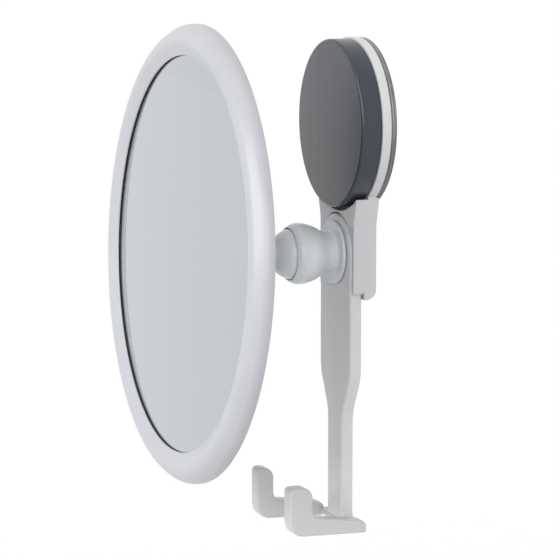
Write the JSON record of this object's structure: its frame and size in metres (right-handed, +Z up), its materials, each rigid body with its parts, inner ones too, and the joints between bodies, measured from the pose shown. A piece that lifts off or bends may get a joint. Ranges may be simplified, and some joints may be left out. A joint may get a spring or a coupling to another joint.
{
  "type": "shaving mirror",
  "caption": "Round shaving mirror on a ball joint, carried by an arm that slides in a twist-lock suction mount and ends in a two-prong razor hook.",
  "frame": {"origin": "where the knob's axis meets the wall", "axes": "+Y into the wall, -Y towards the user, +Z up"},
  "size_m": [0.17, 0.0796, 0.192],
  "materials": {
    "clear_rubber": "translucent grey-green, satin",
    "black_rubber": "matte",
    "white_plastic": "satin gloss",
    "arm_plastic": "satin gloss",
    "knob_plastic": "satin, fine texture",
    "mirror": "silvered glass",
    "backing_foam": "foamed sheet",
    "plate_metal": "rolled",
    "brass": "turned",
    "steel": "zinc plated",
    "acetal": "natural acetal"
  },
  "bodies": {
    "wall_mount": {"suction_cup": "clear_rubber", "bracket": "white_plastic", "wave_washer": "steel", "detent_spring": "steel"},
    "knob": {"knob_cap": "knob_plastic", "nut_carrier": "white_plastic", "threaded_insert": "brass"},
    "stud": {"draw_stud": "steel", "cup_core": "clear_rubber"},
    "arm": {"arm": "arm_plastic", "slide_shoe": "acetal", "shoe_screws": "steel", "razor_hook": "arm_plastic", "socket_washer": "steel", "socket_screw": "steel", "ball_socket": "arm_plastic", "spring_ring": "black_rubber", "ball_seat": "acetal"},
    "ball_middle": {"ball_core": "acetal"},
    "ball": {"ball_stud": "arm_plastic"},
    "mirror_head": {"rear_cover": "white_plastic", "swivel_collar": "white_plastic", "cover_gasket": "black_rubber", "bezel": "white_plastic", "mirror_glass": "mirror", "backing_pad": "backing_foam", "mount_plate": "plate_metal", "collar_screws": "steel"}
  },
  "joints": [
    {"name": "knob_twist", "type": "hinge", "parent": "wall_mount", "child": "knob", "pos_m": [0, 0, 0], "axis": [0, 1, 0], "range_deg": [-90, 0]},
    {"name": "stud_draw", "type": "slide", "parent": "wall_mount", "child": "stud", "axis": [0, 1, 0], "range_m": [0, 0.0017]},
    {"name": "arm_slide", "type": "slide", "parent": "wall_mount", "child": "arm", "axis": [0, 0, 1], "range_m": [-0.012, 0]},
    {"name": "mirror_tilt", "type": "hinge", "parent": "arm", "child": "ball_middle", "pos_m": [0, -0.028, -0.0488], "axis": [1, 0, 0], "range_deg": [-20, 18]},
    {"name": "mirror_pan", "type": "hinge", "parent": "ball_middle", "child": "ball", "pos_m": [0, -0.028, -0.0488], "axis": [0, 0, 1], "range_deg": [-20, 20]},
    {"name": "mirror_spin", "type": "hinge", "parent": "ball", "child": "mirror_head", "pos_m": [0, -0.028, -0.0488], "axis": [0, -0.999, 0.0454], "continuous": true}
  ],
  "couplings": [
    {"joint": "stud_draw", "follows": "knob_twist", "m_per_rad": -0.0010186}
  ]
}
